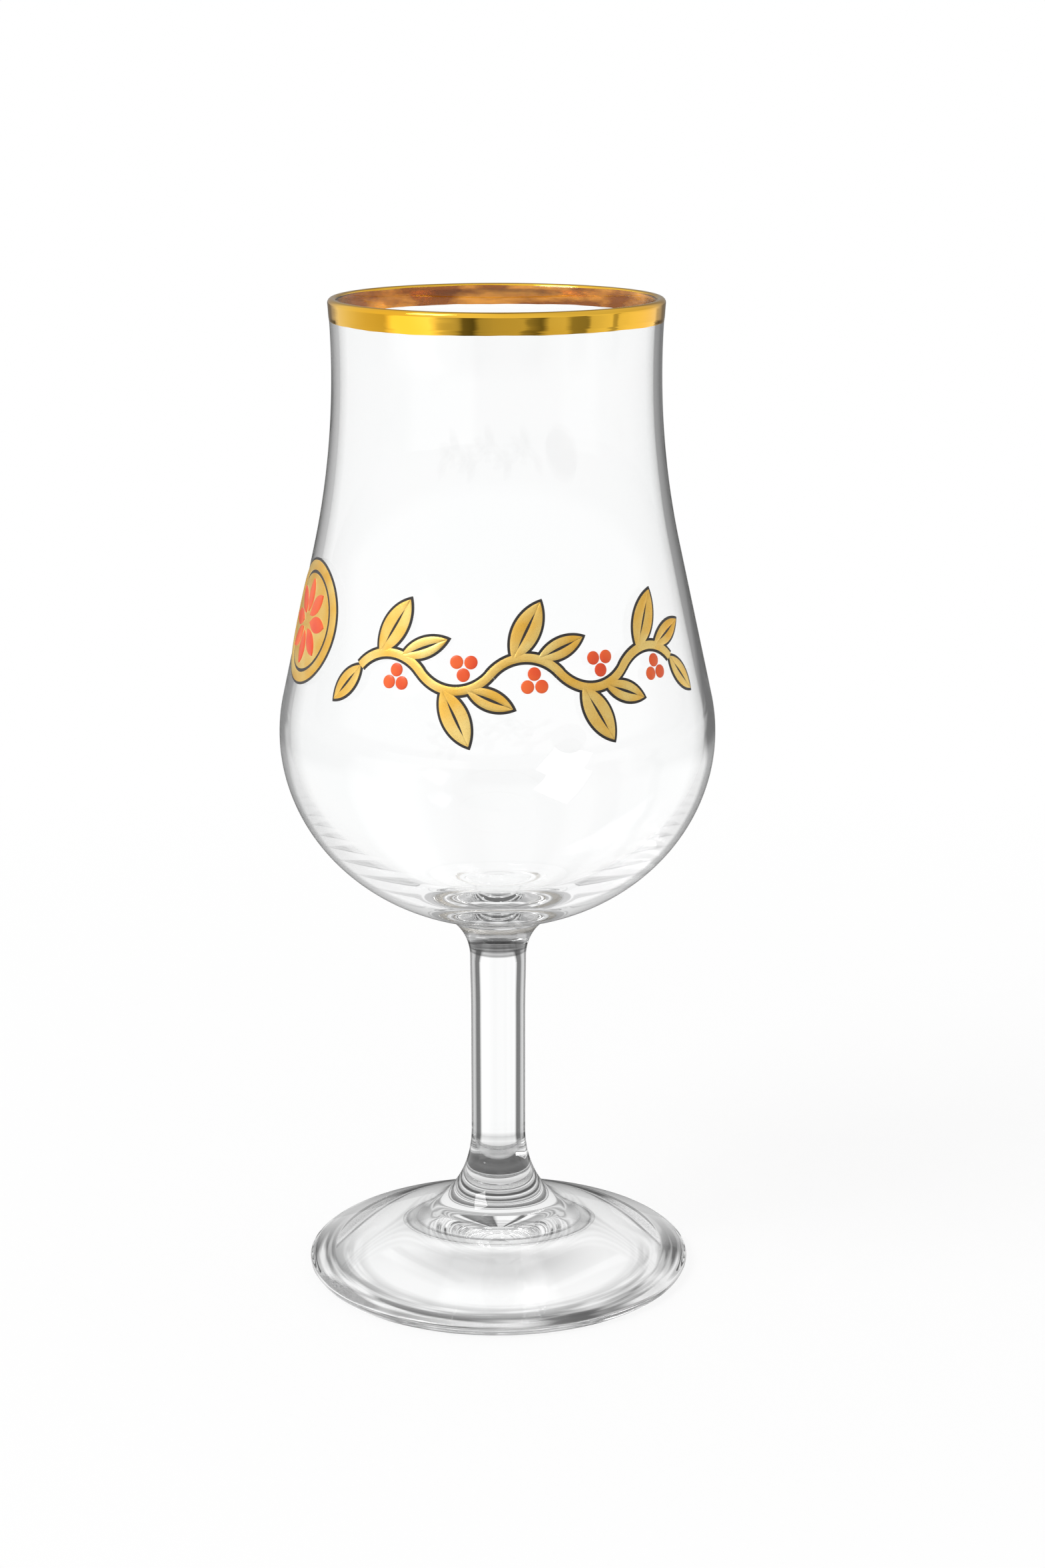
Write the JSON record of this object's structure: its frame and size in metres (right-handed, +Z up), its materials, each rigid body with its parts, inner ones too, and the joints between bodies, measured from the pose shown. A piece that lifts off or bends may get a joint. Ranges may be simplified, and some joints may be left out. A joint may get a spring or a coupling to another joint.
{
  "type": "liqueur glass",
  "caption": "Stemmed liqueur glass with a tulip bowl, slim drawn stem, round hollow-based foot, gilded lip and a fired enamel vine and medallion on the bowl.",
  "frame": {"origin": "centre of the foot on the table surface", "axes": "+Z up along the glass's axis; -Y is the front, which the enamel vine faces; +X to the right seen from the front"},
  "size_m": [0.0522, 0.0522, 0.12],
  "materials": {
    "clear_glass": "clear, fire-polished",
    "bright_gold": "bright fired gold, mirror-like, brushed by hand",
    "satin_gold": "satin fired gold with a fine grain",
    "black_enamel": "fired enamel, half gloss",
    "red_enamel": "fired enamel, half gloss"
  },
  "bodies": {
    "root": {"bowl": "clear_glass", "stem": "clear_glass", "foot": "clear_glass", "lip_gold": "bright_gold", "vine_outline": "black_enamel", "vine_gold": "satin_gold", "vine_berries": "red_enamel", "medallion_outline": "black_enamel", "medallion_field": "satin_gold", "medallion_rosette": "red_enamel"}
  },
  "joints": []
}
